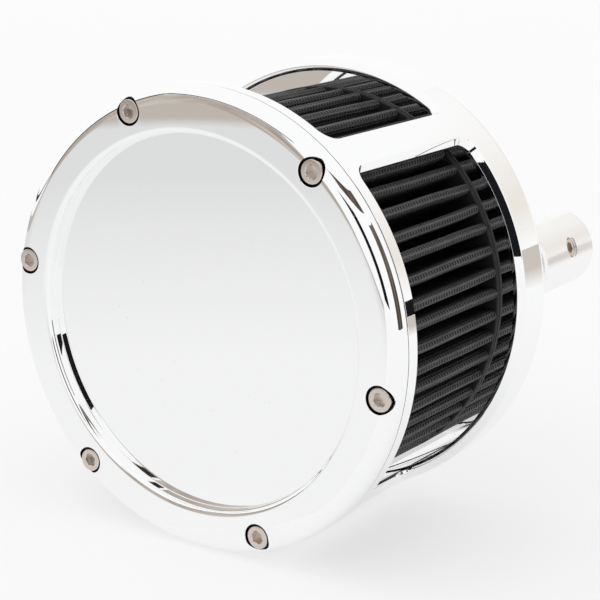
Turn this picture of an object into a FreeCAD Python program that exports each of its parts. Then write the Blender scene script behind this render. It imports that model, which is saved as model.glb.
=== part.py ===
# Round chrome air cleaner for a motorcycle throttle body.
# Frame: millimetres, +Y is the axis, from the front cover back to the engine, +Z is up,
# and the origin is the centre of the throttle bore on the housing's rear face.
import FreeCAD, Part
import math
import os
import re

import Sketcher

from FreeCAD import Placement, Rotation, Vector

doc = FreeCAD.newDocument("air_cleaner")
sheet = doc.addObject("Spreadsheet::Sheet", "sizes")


# Driving dimensions, in millimetres and degrees
SIZES = {
    # Housing, one piece machined from billet
    "body_radius": 89.0,
    "wall_thick": 4.5,
    "base_thick": 20.1,
    "window_length": 80.4,
    "front_ring_length": 6.0,
    "strut_count": 3,
    "strut_angle": 8.4,
    "window_corner_radius": 6.5,
    "rear_edge_radius": 6.0,
    "relief_edge": 20.0,
    "relief_depth": 13.0,
    "relief_angle": 112.0,

    # Front cover
    "cover_rim_thick": 7.0,
    "cover_rim_width": 17.5,
    "cover_recess_depth": 5.2,
    "cover_floor_thick": 4.0,
    "cover_shoulder_radius": 5.0,
    "cover_lip_radius": 2.6,
    "cover_floor_fillet": 0.7,
    "spigot_gap": 0.4,
    "spigot_length": 5.8,
    "spigot_wall": 8.2,
    "seal_section": 2.0,
    "seal_groove_width": 2.4,

    # Cover screws, socket heads
    "cover_screw_count": 6,
    "cover_screw_first_angle": 50.3,
    "cover_screw_edge": 6.7,
    "cover_screw_shank_radius": 2.5,
    "cover_screw_head_radius": 4.25,
    "cover_screw_head_height": 4.8,
    "cover_screw_reach": 8.0,
    "cover_screw_hex_flats": 4.0,
    "cover_screw_hex_depth": 2.6,
    "head_well_gap": 1.2,
    "screw_hole_gap": 0.1,
    "screw_pass_gap": 0.3,

    # Filter
    "filter_wall_gap": 6.5,
    "filter_depth": 20.0,
    "filter_gap": 0.6,
    "cap_thick": 5.0,
    "cap_edge_radius": 1.2,
    "pleat_count": 70,
    "pleat_first_angle": 1.0,
    "pleat_crest_share": 0.5,
    "pleat_root_share": 0.72,
    "media_thick": 1.3,
    "core_thick": 0.8,
    "core_slot_width": 5.0,
    "core_slot_length": 16.0,
    "core_slot_rows": 3,
    "core_slot_columns": 16,

    # Throttle bore, velocity stack and throttle bolt circle
    "throttle_radius": 26.0,
    "throttle_bolt_circle_radius": 42.0,
    "throttle_bolt_hole_radius": 3.3,
    "throttle_bolt_count": 3,
    "throttle_seal_land": 3.0,
    "throttle_seal_width": 3.0,
    "throttle_seal_depth": 2.0,
    "throttle_pad_radius": 51.0,
    "throttle_pad_groove": 2.0,
    "throttle_pad_height": 1.0,
    "stack_flange_radius": 48.0,
    "stack_flange_thick": 3.0,
    "stack_neck_wall": 2.4,
    "stack_neck_length": 6.0,
    "stack_bell_radius": 8.0,
    "stack_screw_count": 3,
    "stack_screw_first_angle": 30,
    "stack_screw_shank_radius": 2.0,
    "stack_screw_head_radius": 3.8,
    "stack_screw_head_height": 2.1,
    "stack_screw_reach": 8.0,
    "stack_screw_hex_flats": 2.5,
    "stack_screw_hex_depth": 1.4,

    # Breather spacers, with their screws, seals and side ports
    "spacer_edge": 17.0,
    "spacer_z": 10.4,
    "spacer_radius": 15.55,
    "spacer_length": 42.0,
    "spacer_chamfer": 1.0,
    "breather_radius": 6.35,
    "breather_depth": 25.0,
    "spacer_screw_shank_radius": 3.0,
    "spacer_screw_head_radius": 5.0,
    "spacer_screw_head_height": 6.0,
    "spacer_screw_reach": 10.0,
    "spacer_screw_hex_flats": 5.0,
    "spacer_screw_hex_depth": 3.0,
    "spacer_screw_well_depth": 8.0,
    "spacer_seal_radius": 10.5,
    "spacer_seal_width": 2.0,
    "spacer_seal_depth": 1.4,
    "port_radius": 4.2,
    "port_y": 23.4,
    "port_angle": 17.8,
    "port_screw_length": 5.0,
    "port_screw_inset": 0.8,
    "port_screw_hex_flats": 4.0,
    "port_screw_hex_depth": 2.5,
    "seal_clearance": 0.1,
}

# Places that follow from them
PLACES = {
    "floor_y": "=-base_thick",
    "window_front_y": "=floor_y - window_length",
    "joint_y": "=window_front_y - front_ring_length",
    "front_y": "=joint_y - cover_rim_thick",
    "wall_inner": "=body_radius - wall_thick",
    "filter_radius": "=wall_inner - filter_wall_gap",
    "ring_bore": "=filter_radius + filter_gap",
    "window_pitch": "=360 / strut_count",
    "window_angle": "=window_pitch - strut_angle",
    "pleat_pitch": "=360 / pleat_count",
    "window_cutter_inner": "=(ring_bore + wall_inner) / 2",
    "window_cutter_outer": "=body_radius + wall_thick",
    "cover_recess_radius": "=body_radius - cover_rim_width",
    "recess_floor_y": "=front_y + cover_recess_depth",
    "cover_back_y": "=recess_floor_y + cover_floor_thick",
    "spigot_radius": "=ring_bore - spigot_gap",
    "spigot_y": "=joint_y + spigot_length",
    "spigot_inner": "=spigot_radius - spigot_wall",
    "seal_bottom": "=ring_bore - seal_section",
    "seal_front_y": "=joint_y + (spigot_length - seal_groove_width) / 2",
    "seal_rear_y": "=seal_front_y + seal_groove_width",
    "cover_screw_seat_y": "=front_y + cover_screw_head_height",
    "filter_inner": "=filter_radius - filter_depth",
    "front_cap_y": "=spigot_y + cap_thick",
    "rear_cap_y": "=floor_y - cap_thick",
    "core_outer": "=filter_inner - seal_clearance",
    "core_inner": "=core_outer - core_thick",
    "stack_face_y": "=floor_y - stack_flange_thick",
    "stack_neck_y": "=stack_face_y - stack_neck_length",
    "stack_lip_y": "=stack_neck_y - stack_bell_radius",
    "stack_lip_radius": "=throttle_radius + stack_bell_radius",
    "stack_screw_seat_y": "=stack_face_y + stack_screw_head_height",
    "stack_screw_end_y": "=floor_y + stack_screw_reach",
    "relief_outer_radius": "=body_radius - relief_edge",
    "throttle_seal_inner": "=throttle_radius + throttle_seal_land",
    "throttle_seal_outer": "=throttle_seal_inner + throttle_seal_width",
    "relief_inner_radius": "=throttle_pad_radius + throttle_pad_groove",
    "throttle_pad_outer": "=relief_inner_radius + throttle_pad_height",
    "spacer_x": "=body_radius - spacer_edge",
    "spacer_screw_seat_y": "=floor_y + spacer_screw_well_depth",
    "spacer_screw_face_y": "=spacer_screw_seat_y - spacer_screw_head_height",
    "spacer_bore_y": "=spacer_length - breather_depth",
    "spacer_seal_outer": "=spacer_seal_radius + spacer_seal_width",
    "cover_screw_circle_radius": "=body_radius - cover_screw_edge",
    "cover_screw_x": "=cover_screw_circle_radius * cos(cover_screw_first_angle)",
    "cover_screw_z": "=cover_screw_circle_radius * sin(cover_screw_first_angle)",
    "stack_screw_x": "=throttle_bolt_circle_radius * cos(stack_screw_first_angle)",
    "stack_screw_z": "=throttle_bolt_circle_radius * sin(stack_screw_first_angle)",
}

for row, (name, amount) in enumerate({**SIZES, **PLACES}.items(), start=1):
    sheet.set("A%d" % row, str(amount))
    sheet.setAlias("A%d" % row, name)
doc.recompute()

COVER_SCREW_PLACE = ("cover_screw_x", "cover_screw_z")
STACK_SCREW_PLACE = ("stack_screw_x", "stack_screw_z")
THROTTLE_BOLT_PLACE = ("0", "throttle_bolt_circle_radius")
SPACER_PLACES = [("spacer_x", "spacer_z"), ("-spacer_x", "spacer_z")]
CREST_ANGLES = (0, 40, 72)


def bound(formula):
    """Turn a formula in plain names into one that reads the sheet."""
    return re.sub(r"[a-z][a-z0-9_]*\b(?!\()", lambda word: "sizes." + word.group(), formula)


def number(formula):
    """Work out a formula in plain names."""
    return float(sheet.evalExpression(formula))


# Sketching
def origin_item(body, role):
    """The body's own plane or axis with this role."""
    return next(item for item in body.Origin.OriginFeatures if item.Role == role)


def new_body(name):
    body = doc.addObject("PartDesign::Body", name)
    body.Label = name
    return body


def new_sketch(body, name, role, offset=None, turn=None, turn_axis=Vector(0, 1, 0)):
    """A sketch on one of the body's planes, moved along its normal or turned about Y."""
    sketch = body.newObject("Sketcher::SketchObject", name)
    sketch.AttachmentSupport = (origin_item(body, role), [""])
    sketch.MapMode = "FlatFace"
    if turn is not None:
        sketch.AttachmentOffset = Placement(Vector(), Rotation(turn_axis, 1))
        sketch.setExpression("AttachmentOffset.Rotation.Angle", bound(turn))
    if offset is not None:
        sketch.setExpression("AttachmentOffset.Base.z", bound(offset))
    return sketch


def pin_point(sketch, shape_index, point_index, place):
    """Bind a sketch point to two formulas, or lay it on an axis where one is zero."""
    for kind, axis, formula in (("DistanceX", -2, place[0]), ("DistanceY", -1, place[1])):
        if formula == "0":
            rule = Sketcher.Constraint("PointOnObject", shape_index, point_index, axis)
            sketch.addConstraint(rule)
            continue
        rule = Sketcher.Constraint(kind, -1, 1, shape_index, point_index, number(formula))
        index = sketch.addConstraint(rule)
        sketch.setExpression("Constraints[%d]" % index, bound(formula))


def bind_radius(sketch, shape_index, formula):
    rule = Sketcher.Constraint("Radius", shape_index, number(formula))
    index = sketch.addConstraint(rule)
    sketch.setExpression("Constraints[%d]" % index, bound(formula))


def arc_between(start, end, radius, centre_on_left):
    """A circular arc from start to end with its centre on one side of the way."""
    half = (end - start) / 2
    side = Vector(-half.y, half.x, 0).normalize()
    reach = math.sqrt(max(radius ** 2 - half.Length ** 2, 0))
    centre = start + half + side * (reach if centre_on_left else -reach)
    ends = (start, end) if centre_on_left else (end, start)
    angles = [math.atan2(point.y - centre.y, point.x - centre.x) for point in ends]
    return Part.ArcOfCircle(Part.Circle(centre, Vector(0, 0, 1), radius), angles[0], angles[1])


def draw_outline(sketch, places):
    """A closed outline through places, each a pair of formulas.

    A place may go on with a radius formula and "left" or "right": then the
    stretch to the next place is an arc with its centre on that side.
    """
    corners = [Vector(number(place[0]), number(place[1]), 0) for place in places]
    stretches = []
    for index, place in enumerate(places):
        following = corners[(index + 1) % len(corners)]
        if len(place) == 2:
            shape_index = sketch.addGeometry(Part.LineSegment(corners[index], following))
            stretches.append((shape_index, 1, 2))
            continue
        on_left = place[3] == "left"
        arc = arc_between(corners[index], following, number(place[2]), on_left)
        shape_index = sketch.addGeometry(arc)
        stretches.append((shape_index, 1, 2) if on_left else (shape_index, 2, 1))
        bind_radius(sketch, shape_index, place[2])
    for index, (shape_index, _, end) in enumerate(stretches):
        following, start, _ = stretches[(index + 1) % len(stretches)]
        sketch.addConstraint(Sketcher.Constraint("Coincident", shape_index, end, following, start))
    for place, (shape_index, start, _) in zip(places, stretches):
        pin_point(sketch, shape_index, start, place[:2])


def draw_circle(sketch, place, radius):
    """A circle at a pair of formulas, with its radius bound."""
    centre = Vector(number(place[0]), number(place[1]), 0)
    index = sketch.addGeometry(Part.Circle(centre, Vector(0, 0, 1), number(radius)))
    pin_point(sketch, index, 3, place)
    bind_radius(sketch, index, radius)
    return index


def draw_hexagon(sketch, place, flats):
    """A hexagon across flats, with one pair of its sides upright."""
    centre = Vector(number(place[0]), number(place[1]), 0)
    corner_radius = number(flats) / math.sqrt(3)
    corners = []
    for index in range(6):
        angle = math.radians(60 * index - 30)
        corners.append(centre + Vector(math.cos(angle), math.sin(angle), 0) * corner_radius)
    for index in range(6):
        sketch.addGeometry(Part.LineSegment(corners[index], corners[(index + 1) % 6]))
    for index in range(6):
        sketch.addConstraint(Sketcher.Constraint("Coincident", index, 2, (index + 1) % 6, 1))
    ring = draw_circle(sketch, place, "%s / 2 / cos(30)" % flats)
    sketch.toggleConstruction(ring)
    for index in range(6):
        sketch.addConstraint(Sketcher.Constraint("PointOnObject", index, 1, ring))
    for index in range(5):
        sketch.addConstraint(Sketcher.Constraint("Equal", index, index + 1))
    sketch.addConstraint(Sketcher.Constraint("Vertical", 0))


# Features
def revolve(body, name, places, kind="Revolution", angle=None, axis=None, **where):
    """Turn an outline of (across, y) places round the Y axis, or a line parallel to it.

    kind is Revolution, which adds, or Groove, which cuts. Without an angle it goes all round.
    """
    sketch = new_sketch(body, name + "_outline", "XY_Plane", **where)
    line = "V_Axis"
    if axis is not None:
        away = number(axis)
        line_end = number("base_thick")
        shape = Part.LineSegment(Vector(away, 0, 0), Vector(away, line_end, 0))
        index = sketch.addGeometry(shape, True)
        pin_point(sketch, index, 1, (axis, "0"))
        pin_point(sketch, index, 2, (axis, "base_thick"))
        places = [(axis if place[0] == "0" else axis + " + " + place[0], place[1])
                  for place in places]
        line = "Axis0"
    draw_outline(sketch, places)
    turn = body.newObject("PartDesign::" + kind, name)
    turn.Profile = sketch
    turn.ReferenceAxis = (sketch, [line])
    turn.Angle = 360
    if angle is not None:
        turn.Midplane = True
        turn.setExpression("Angle", bound(angle))
    doc.recompute()
    return turn


def pocket_from(body, name, sketch, depth, reverse=False):
    pocket = body.newObject("PartDesign::Pocket", name)
    pocket.Profile = sketch
    pocket.Reversed = reverse
    pocket.setExpression("Length", bound(depth))
    doc.recompute()
    return pocket


def round_holes(body, name, places, radius, face, depth):
    """Round pockets of one radius, cut towards the rear from the plane y = face."""
    sketch = new_sketch(body, name + "_circles", "XZ_Plane", offset="-" + face)
    for place in places:
        draw_circle(sketch, place, radius)
    return pocket_from(body, name, sketch, depth)


def hex_socket(body, name, place, flats, face, depth):
    """A hexagonal key socket, cut towards the rear from the plane y = face."""
    sketch = new_sketch(body, name + "_hexagon", "XZ_Plane", offset="-" + face)
    draw_hexagon(sketch, place, flats)
    return pocket_from(body, name, sketch, depth)


def repeat_round(body, name, features, count):
    """Repeat features evenly round the Y axis."""
    pattern = body.newObject("PartDesign::PolarPattern", name)
    pattern.Originals = features
    pattern.Axis = (origin_item(body, "Y_Axis"), [""])
    pattern.Angle = 360
    pattern.setExpression("Occurrences", bound(count))
    body.Tip = pattern
    doc.recompute()
    return pattern


def mirror_across(body, name, features):
    """Repeat features on the other side of the YZ plane."""
    mirror = body.newObject("PartDesign::Mirrored", name)
    mirror.Originals = features
    mirror.MirrorPlane = (origin_item(body, "YZ_Plane"), [""])
    body.Tip = mirror
    doc.recompute()
    return mirror


def rim_edges(shape, radius, along):
    """Names of the circular edges of this radius round the Y axis at y = along."""
    names = []
    for index, edge in enumerate(shape.Edges, 1):
        if edge.Curve.TypeId != "Part::GeomCircle":
            continue
        centre = edge.Curve.Center
        off_axis = math.hypot(centre.x, centre.z)
        misses = (off_axis, edge.Curve.Radius - number(radius), centre.y - number(along))
        if not any(round(miss, 3) for miss in misses):
            names.append("Edge" + str(index))
    return names


def dress(body, name, kind, base, edges, amount):
    """Fillet or chamfer some edges of a feature by a bound amount."""
    finish = body.newObject("PartDesign::" + kind, name)
    finish.Base = (base, edges)
    finish.setExpression("Radius" if kind == "Fillet" else "Size", bound(amount))
    doc.recompute()
    return finish


def make_ring(name, inner, outer, front, rear, place=None):
    """A plain ring round the Y axis, or round the axis at a place."""
    body = new_body(name)
    revolve(body, name + "_ring", [
        (inner, front),
        (outer, front),
        (outer, rear),
        (inner, rear),
    ])
    if place is not None:
        body.setExpression("Placement.Base.x", bound(place[0]))
        body.setExpression("Placement.Base.z", bound(place[1]))
    return body


# Housing: a cup with three windows, its base carrying the throttle and breather holes
def make_window_cutter(index):
    """A sector with rounded corners: the opening between two struts."""
    body = new_body("window_cutter_" + str(index + 1))
    place = index + 0.5
    sector = revolve(body, body.Name + "_sector", [
        ("window_cutter_inner", "floor_y"),
        ("window_cutter_outer", "floor_y"),
        ("window_cutter_outer", "window_front_y"),
        ("window_cutter_inner", "window_front_y"),
    ], angle="window_angle", turn="-(cover_screw_first_angle + window_pitch * %.1f)" % place)
    corners = []
    for edge_number, edge in enumerate(sector.Shape.Edges, 1):
        if edge.Curve.TypeId == "Part::GeomLine" and round(edge.Curve.Direction.y) == 0:
            corners.append("Edge" + str(edge_number))
    dress(body, body.Name + "_corners", "Fillet", sector, corners, "window_corner_radius")
    return body


def make_housing():
    cutters = [make_window_cutter(index) for index in range(int(number("strut_count")))]
    body = new_body("housing")
    cup = revolve(body, "cup", [
        ("throttle_radius", "0"),
        ("body_radius", "0"),
        ("body_radius", "joint_y"),
        ("ring_bore", "joint_y"),
        ("ring_bore", "window_front_y"),
        ("wall_inner", "window_front_y"),
        ("wall_inner", "floor_y"),
        ("throttle_radius", "floor_y"),
    ])
    rear_rim = rim_edges(cup.Shape, "body_radius", "0")
    dress(body, "rear_edge", "Fillet", cup, rear_rim, "rear_edge_radius")
    windows = body.newObject("PartDesign::Boolean", "windows")
    windows.Type = "Cut"
    windows.addObjects(cutters)
    doc.recompute()
    thread = round_holes(
        body, "cover_thread", [COVER_SCREW_PLACE],
        "cover_screw_shank_radius + screw_hole_gap", "joint_y", "front_ring_length",
    )
    repeat_round(body, "cover_thread_circle", [thread], "cover_screw_count")
    bolt_hole = round_holes(
        body, "throttle_bolt_hole", [THROTTLE_BOLT_PLACE],
        "throttle_bolt_hole_radius", "floor_y", "base_thick",
    )
    repeat_round(body, "throttle_bolt_circle", [bolt_hole], "throttle_bolt_count")
    stack_thread = round_holes(
        body, "stack_thread", [STACK_SCREW_PLACE],
        "stack_screw_shank_radius + screw_hole_gap", "floor_y", "stack_screw_reach",
    )
    repeat_round(body, "stack_thread_circle", [stack_thread], "stack_screw_count")
    round_holes(
        body, "spacer_screw_wells", SPACER_PLACES,
        "spacer_screw_head_radius + screw_pass_gap", "floor_y", "spacer_screw_well_depth",
    )
    round_holes(
        body, "spacer_screw_holes", SPACER_PLACES,
        "spacer_screw_shank_radius + screw_pass_gap", "floor_y", "base_thick",
    )
    relief_outline = [
        ("relief_inner_radius", "0"),
        ("relief_outer_radius", "0"),
        ("relief_outer_radius", "-relief_depth"),
        ("relief_inner_radius", "-relief_depth"),
    ]
    for name, turn in (("upper_relief", "-90"), ("lower_relief", "90")):
        revolve(body, name, relief_outline, kind="Groove", angle="relief_angle", turn=turn)
    revolve(body, "throttle_pad_groove", [
        ("throttle_pad_radius", "0"),
        ("throttle_pad_outer", "0"),
        ("throttle_pad_outer", "-throttle_pad_height"),
        ("throttle_pad_radius", "-throttle_pad_height"),
    ], kind="Groove")
    revolve(body, "throttle_seal_groove", [
        ("throttle_seal_inner", "0"),
        ("throttle_seal_outer", "0"),
        ("throttle_seal_outer", "-throttle_seal_depth"),
        ("throttle_seal_inner", "-throttle_seal_depth"),
    ], kind="Groove")


# Front cover: a dished disc whose spigot fits the housing's front ring
def make_front_cover():
    body = new_body("front_cover")
    finished = revolve(body, "disc", [
        ("0", "recess_floor_y"),
        ("cover_recess_radius", "recess_floor_y"),
        ("cover_recess_radius", "front_y"),
        ("body_radius", "front_y"),
        ("body_radius", "joint_y"),
        ("spigot_radius", "joint_y"),
        ("spigot_radius", "seal_front_y"),
        ("seal_bottom", "seal_front_y"),
        ("seal_bottom", "seal_rear_y"),
        ("spigot_radius", "seal_rear_y"),
        ("spigot_radius", "spigot_y"),
        ("spigot_inner", "spigot_y"),
        ("spigot_inner", "cover_back_y"),
        ("0", "cover_back_y"),
    ])
    rims = [
        ("shoulder", "body_radius", "front_y", "cover_shoulder_radius"),
        ("lip", "cover_recess_radius", "front_y", "cover_lip_radius"),
        ("recess_corner", "cover_recess_radius", "recess_floor_y", "cover_floor_fillet"),
    ]
    for name, radius, along, amount in rims:
        edges = rim_edges(finished.Shape, radius, along)
        finished = dress(body, name, "Fillet", finished, edges, amount)
    well = round_holes(
        body, "head_well", [COVER_SCREW_PLACE],
        "cover_screw_head_radius + head_well_gap", "front_y", "cover_screw_head_height",
    )
    hole = round_holes(
        body, "screw_hole", [COVER_SCREW_PLACE],
        "cover_screw_shank_radius + screw_pass_gap", "front_y", "cover_rim_thick",
    )
    repeat_round(body, "screw_circle", [well, hole], "cover_screw_count")


# Screws: each is turned about its own line, gets a key socket and is repeated
def screw_outline(head, shank, face, seat, end):
    """Half the outline of a socket-head screw with its head at y = face."""
    return [("0", face), (head, face), (head, seat), (shank, seat), (shank, end), ("0", end)]


def make_cover_screws():
    body = new_body("cover_screws")
    outline = screw_outline(
        "cover_screw_head_radius", "cover_screw_shank_radius", "front_y",
        "cover_screw_seat_y", "cover_screw_seat_y + cover_screw_reach",
    )
    screw = revolve(
        body, "cover_screw", outline,
        axis="cover_screw_circle_radius", turn="-cover_screw_first_angle",
    )
    socket = hex_socket(
        body, "cover_screw_socket", COVER_SCREW_PLACE,
        "cover_screw_hex_flats", "front_y", "cover_screw_hex_depth",
    )
    repeat_round(body, "cover_screw_circle", [screw, socket], "cover_screw_count")


def make_stack_screws():
    body = new_body("stack_screws")
    screw = revolve(body, "stack_screw", [
        ("0", "stack_face_y"),
        ("stack_screw_head_radius", "stack_face_y"),
        ("stack_screw_shank_radius", "stack_screw_seat_y"),
        ("stack_screw_shank_radius", "stack_screw_end_y"),
        ("0", "stack_screw_end_y"),
    ], axis="throttle_bolt_circle_radius", turn="-stack_screw_first_angle")
    socket = hex_socket(
        body, "stack_screw_socket", STACK_SCREW_PLACE,
        "stack_screw_hex_flats", "stack_face_y", "stack_screw_hex_depth",
    )
    repeat_round(body, "stack_screw_circle", [screw, socket], "stack_screw_count")


def make_spacer_screws():
    body = new_body("spacer_screws")
    outline = screw_outline(
        "spacer_screw_head_radius", "spacer_screw_shank_radius", "spacer_screw_face_y",
        "spacer_screw_seat_y", "spacer_screw_reach",
    )
    screw = revolve(body, "spacer_screw", outline, axis="spacer_x", offset="spacer_z")
    socket = hex_socket(
        body, "spacer_screw_socket", SPACER_PLACES[0],
        "spacer_screw_hex_flats", "spacer_screw_face_y", "spacer_screw_hex_depth",
    )
    mirror_across(body, "spacer_screw_pair", [screw, socket])


# Filter: pleated media between two moulded caps, on a slotted core
def make_filter_cap(name, front, rear):
    body = make_ring(name, "filter_inner", "filter_radius", front, rear)
    ring = body.Tip
    edges = rim_edges(ring.Shape, "filter_radius", front)
    edges += rim_edges(ring.Shape, "filter_radius", rear)
    dress(body, name + "_edges", "Fillet", ring, edges, "cap_edge_radius")


def make_filter_core():
    body = make_ring("filter_core", "core_inner", "core_outer", "spigot_y", "floor_y")
    sketch = new_sketch(body, "core_slot_outlines", "YZ_Plane")
    pitch = "(rear_cap_y - front_cap_y) / core_slot_rows"
    for row in range(int(number("core_slot_rows"))):
        middle = "front_cap_y + %s * %s" % (pitch, row + 0.5)
        low = middle + " - core_slot_length / 2"
        high = middle + " + core_slot_length / 2"
        draw_outline(sketch, [
            (low, "-core_slot_width / 2"),
            (high, "-core_slot_width / 2"),
            (high, "core_slot_width / 2"),
            (low, "core_slot_width / 2"),
        ])
    slots = pocket_from(body, "core_slots", sketch, "core_outer + core_thick", reverse=True)
    repeat_round(body, "core_slot_round", [slots], "core_slot_columns")


def polar(radius, angle, across):
    """A point at a radius and angle in the XZ plane, moved sideways by across."""
    moved = angle + across / radius
    return Vector(radius * math.cos(moved), 0, radius * math.sin(moved))


def make_filter_media():
    """A sheet folded into pleats, each with a rounded crest and two straight flanks."""
    outer = number("filter_radius")
    inner = number("filter_inner")
    thick = number("media_thick")
    pitch = math.radians(number("pleat_pitch"))
    crest_half = number("pleat_crest_share") * outer * pitch / 2
    crest_centre = outer - crest_half
    root = inner + thick
    root_half = number("pleat_root_share") * root * pitch / 2
    outside = [(root, root_half)]
    for angle in CREST_ANGLES:
        rise = crest_half * math.sin(math.radians(angle))
        outside.append((crest_centre + rise, crest_half * math.cos(math.radians(angle))))
    inside = [(inner, root_half - thick / 2), (crest_centre, crest_half - thick)]
    wires = []
    for half_fold in (outside, inside):
        points = []
        for index in range(int(number("pleat_count"))):
            angle = math.radians(number("pleat_first_angle")) + index * pitch
            points += [polar(radius, angle, -across) for radius, across in half_fold]
            points += [polar(radius, angle, across) for radius, across in reversed(half_fold)]
        wires.append(Part.makePolygon(points + points[:1]))
    section = Part.Face(wires[0]).cut(Part.Face(wires[1]))
    length = number("rear_cap_y - front_cap_y")
    media = doc.addObject("Part::Feature", "filter_media")
    media.Label = "filter_media"
    media.Shape = section.extrude(Vector(0, length, 0)).Solids[0]
    media.Placement = Placement(Vector(0, number("front_cap_y"), 0), Rotation())


# Velocity stack: a flanged ring with a bell mouth on the housing's floor
def make_velocity_stack():
    body = new_body("velocity_stack")
    neck_outer = "throttle_radius + stack_neck_wall"
    revolve(body, "bell", [
        ("throttle_radius", "floor_y"),
        ("stack_flange_radius", "floor_y"),
        ("stack_flange_radius", "stack_face_y"),
        (neck_outer, "stack_face_y"),
        (neck_outer, "stack_neck_y", "stack_bell_radius - stack_neck_wall", "left"),
        ("stack_lip_radius", "stack_lip_y + stack_neck_wall"),
        ("stack_lip_radius", "stack_lip_y", "stack_bell_radius", "right"),
        ("throttle_radius", "stack_neck_y"),
    ])
    bolt_hole = round_holes(
        body, "bolt_hole", [THROTTLE_BOLT_PLACE],
        "throttle_bolt_hole_radius", "stack_face_y", "stack_flange_thick",
    )
    repeat_round(body, "bolt_hole_circle", [bolt_hole], "throttle_bolt_count")
    shank = "stack_screw_shank_radius + screw_pass_gap"
    sink = revolve(body, "countersink", [
        ("0", "stack_face_y"),
        ("stack_screw_head_radius + screw_pass_gap", "stack_face_y"),
        (shank, "stack_screw_seat_y"),
        (shank, "floor_y"),
        ("0", "floor_y"),
    ], kind="Groove", axis="throttle_bolt_circle_radius", turn="-stack_screw_first_angle")
    repeat_round(body, "countersink_circle", [sink], "stack_screw_count")


# Breather spacers: turned standoffs with a breather bore, a side port and two seals
def make_spacer(side, direction):
    """One spacer with its own seals and port screw, at +X or -X."""
    body = new_body("breather_spacer_" + side)
    shank = "spacer_screw_shank_radius + screw_hole_gap"
    bar = revolve(body, "spacer_bar_" + side, [
        (shank, "0"),
        ("spacer_seal_radius", "0"),
        ("spacer_seal_radius", "spacer_seal_depth"),
        ("spacer_seal_outer", "spacer_seal_depth"),
        ("spacer_seal_outer", "0"),
        ("spacer_radius", "0"),
        ("spacer_radius", "spacer_length"),
        ("spacer_seal_outer", "spacer_length"),
        ("spacer_seal_outer", "spacer_length - spacer_seal_depth"),
        ("spacer_seal_radius", "spacer_length - spacer_seal_depth"),
        ("spacer_seal_radius", "spacer_length"),
        ("breather_radius", "spacer_length"),
        ("breather_radius", "spacer_bore_y"),
        (shank, "spacer_bore_y"),
    ])
    rims = rim_edges(bar.Shape, "spacer_radius", "0")
    rims += rim_edges(bar.Shape, "spacer_radius", "spacer_length")
    dress(body, "spacer_chamfers_" + side, "Chamfer", bar, rims, "spacer_chamfer")
    turn = "-port_angle" if direction > 0 else "port_angle - 180"
    sketch = new_sketch(
        body, "spacer_port_circle_" + side, "YZ_Plane", turn=turn, turn_axis=Vector(1, 0, 0),
    )
    draw_circle(sketch, ("port_y", "0"), "port_radius")
    pocket_from(body, "spacer_port_" + side, sketch, "spacer_radius", reverse=True)
    place = SPACER_PLACES[0] if direction > 0 else SPACER_PLACES[1]
    body.setExpression("Placement.Base.x", bound(place[0]))
    body.setExpression("Placement.Base.z", bound(place[1]))
    inner = "spacer_seal_radius + seal_clearance"
    outer = "spacer_seal_outer - seal_clearance"
    make_ring("housing_seal_" + side, inner, outer, "0", "spacer_seal_depth", place)
    far_end = "spacer_length - spacer_seal_depth"
    make_ring("head_seal_" + side, inner, outer, far_end, "spacer_length", place)
    make_port_screw(side, direction)


def make_port_screw(side, direction):
    """The socket set screw that closes a spacer's side port."""
    body = new_body("port_screw_" + side)
    radius = "port_radius - screw_hole_gap"
    revolve(body, "port_screw_bar_" + side, [
        ("0", "0"),
        (radius, "0"),
        (radius, "port_screw_length"),
        ("0", "port_screw_length"),
    ])
    hex_socket(
        body, "port_screw_socket_" + side, ("0", "0"),
        "port_screw_hex_flats", "0", "port_screw_hex_depth",
    )
    angle = math.radians(number("port_angle"))
    outwards = Vector(direction * math.cos(angle), 0, math.sin(angle))
    middle = Vector(direction * number("spacer_x"), number("port_y"), number("spacer_z"))
    face = middle + outwards * number("spacer_radius - port_screw_inset")
    body.Placement = Placement(face, Rotation(Vector(0, 1, 0), -outwards))


make_housing()
make_front_cover()
make_cover_screws()
make_ring(
    "cover_seal", "seal_bottom", "ring_bore",
    "seal_front_y + seal_clearance", "seal_rear_y - seal_clearance",
)
make_filter_cap("filter_front_cap", "spigot_y", "front_cap_y")
make_filter_cap("filter_rear_cap", "rear_cap_y", "floor_y")
make_filter_core()
make_filter_media()
make_velocity_stack()
make_stack_screws()
make_ring(
    "throttle_seal", "throttle_seal_inner + seal_clearance",
    "throttle_seal_outer - seal_clearance", "-throttle_seal_depth", "0",
)
make_spacer_screws()
make_spacer("right", 1)
make_spacer("left", -1)
doc.recompute()

# Check every object, then write each piece
PIECES = [
    "housing", "front_cover", "cover_screws", "cover_seal",
    "filter_front_cap", "filter_rear_cap", "filter_core", "filter_media",
    "velocity_stack", "stack_screws", "throttle_seal", "spacer_screws",
    "breather_spacer_right", "housing_seal_right", "head_seal_right", "port_screw_right",
    "breather_spacer_left", "housing_seal_left", "head_seal_left", "port_screw_left",
]

for item in doc.Objects:
    if "Invalid" in item.State or "Error" in item.State:
        raise RuntimeError("%s did not build: %s" % (item.Label, item.State))

os.makedirs("parts", exist_ok=True)
for name in PIECES:
    shape = doc.getObjectsByLabel(name)[0].Shape
    if shape.isNull() or not shape.isValid():
        raise RuntimeError(name + " has no valid shape")
    shape.exportStep("parts/%s.step" % name)
    print("%-24s solids %d, volume %.1f mm3" % (name, len(shape.Solids), shape.Volume))
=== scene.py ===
# %% [markdown]
# # A round chrome air cleaner
#
# The object is a motorcycle air cleaner: a one-piece polished housing with three wide
# windows, a dished front cover held by six socket screws, a black pleated filter and two
# short breather spacers behind. It lies on its round body on a white floor.
# This lesson dresses the measured frame: each piece is turned, cut and finished, then gets
# a node material, and at the end come the studio and the camera.

# %% Load the measured frame
import math

import bmesh
import bpy

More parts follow.
